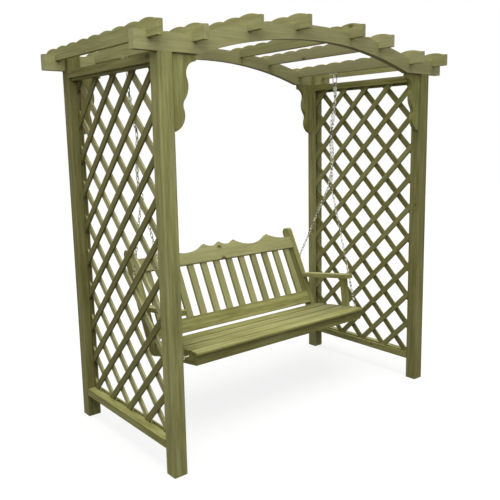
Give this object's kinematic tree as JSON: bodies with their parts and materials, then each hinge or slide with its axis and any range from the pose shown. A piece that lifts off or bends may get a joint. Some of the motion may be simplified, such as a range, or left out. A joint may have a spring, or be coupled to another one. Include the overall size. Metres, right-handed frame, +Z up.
{
  "type": "arbor swing",
  "caption": "Free-standing timber arbor with lattice sides, arch beams and scalloped rafters, and a slatted bench swing hung inside it on chains.",
  "frame": {"origin": "on the ground, midway between the four posts", "axes": "+X to the right as seen from the front, +Y from the front to the back, +Z up"},
  "size_m": [2.01, 1.1, 2.0471],
  "materials": {
    "treated_pine": "planed, pressure-treated olive green",
    "zinc_steel": "bright zinc plated"
  },
  "bodies": {
    "arbor": {"arch_beam_back": "treated_pine", "arch_beam_front": "treated_pine", "bottom_rail_left": "treated_pine", "bottom_rail_right": "treated_pine", "bracket_back_left": "treated_pine", "bracket_back_right": "treated_pine", "bracket_front_left": "treated_pine", "bracket_front_right": "treated_pine", "hanger_left": "zinc_steel", "hanger_right": "zinc_steel", "lattice_inner_left": "treated_pine", "lattice_inner_right": "treated_pine", "lattice_outer_left": "treated_pine", "lattice_outer_right": "treated_pine", "lattice_strip_left": "treated_pine", "lattice_strip_right": "treated_pine", "post_back_left": "treated_pine", "post_back_right": "treated_pine", "post_front_left": "treated_pine", "post_front_right": "treated_pine", "rafter_1": "treated_pine", "rafter_2": "treated_pine", "rafter_3": "treated_pine", "rafter_4": "treated_pine", "rafter_5": "treated_pine", "rafter_6": "treated_pine", "rafter_7": "treated_pine", "rafter_8": "treated_pine", "top_rail_left": "treated_pine", "top_rail_right": "treated_pine"},
    "swing": {"apron": "treated_pine", "arm_post_left": "treated_pine", "arm_post_right": "treated_pine", "armrest_left": "treated_pine", "armrest_right": "treated_pine", "back_slats": "treated_pine", "chain_back_left": "zinc_steel", "chain_back_right": "zinc_steel", "chain_front_left": "zinc_steel", "chain_front_right": "zinc_steel", "chain_upper_left": "zinc_steel", "chain_upper_right": "zinc_steel", "crest_rail": "treated_pine", "eyes": "zinc_steel", "joining_ring_left": "zinc_steel", "joining_ring_right": "zinc_steel", "lower_back_rail": "treated_pine", "middle_bearer": "treated_pine", "rear_bearer": "treated_pine", "seat_board_1": "treated_pine", "seat_board_2": "treated_pine", "seat_board_3": "treated_pine", "seat_board_4": "treated_pine", "seat_side_rail_left": "treated_pine", "seat_side_rail_right": "treated_pine", "shackle_left": "zinc_steel", "shackle_right": "zinc_steel", "stile_left": "treated_pine", "stile_right": "treated_pine"}
  },
  "joints": [
    {"name": "swing_hinge", "type": "hinge", "parent": "arbor", "child": "swing", "pos_m": [0, 0.1086, 1.85], "axis": [1, 0, 0], "range_deg": [-20, 20]}
  ]
}
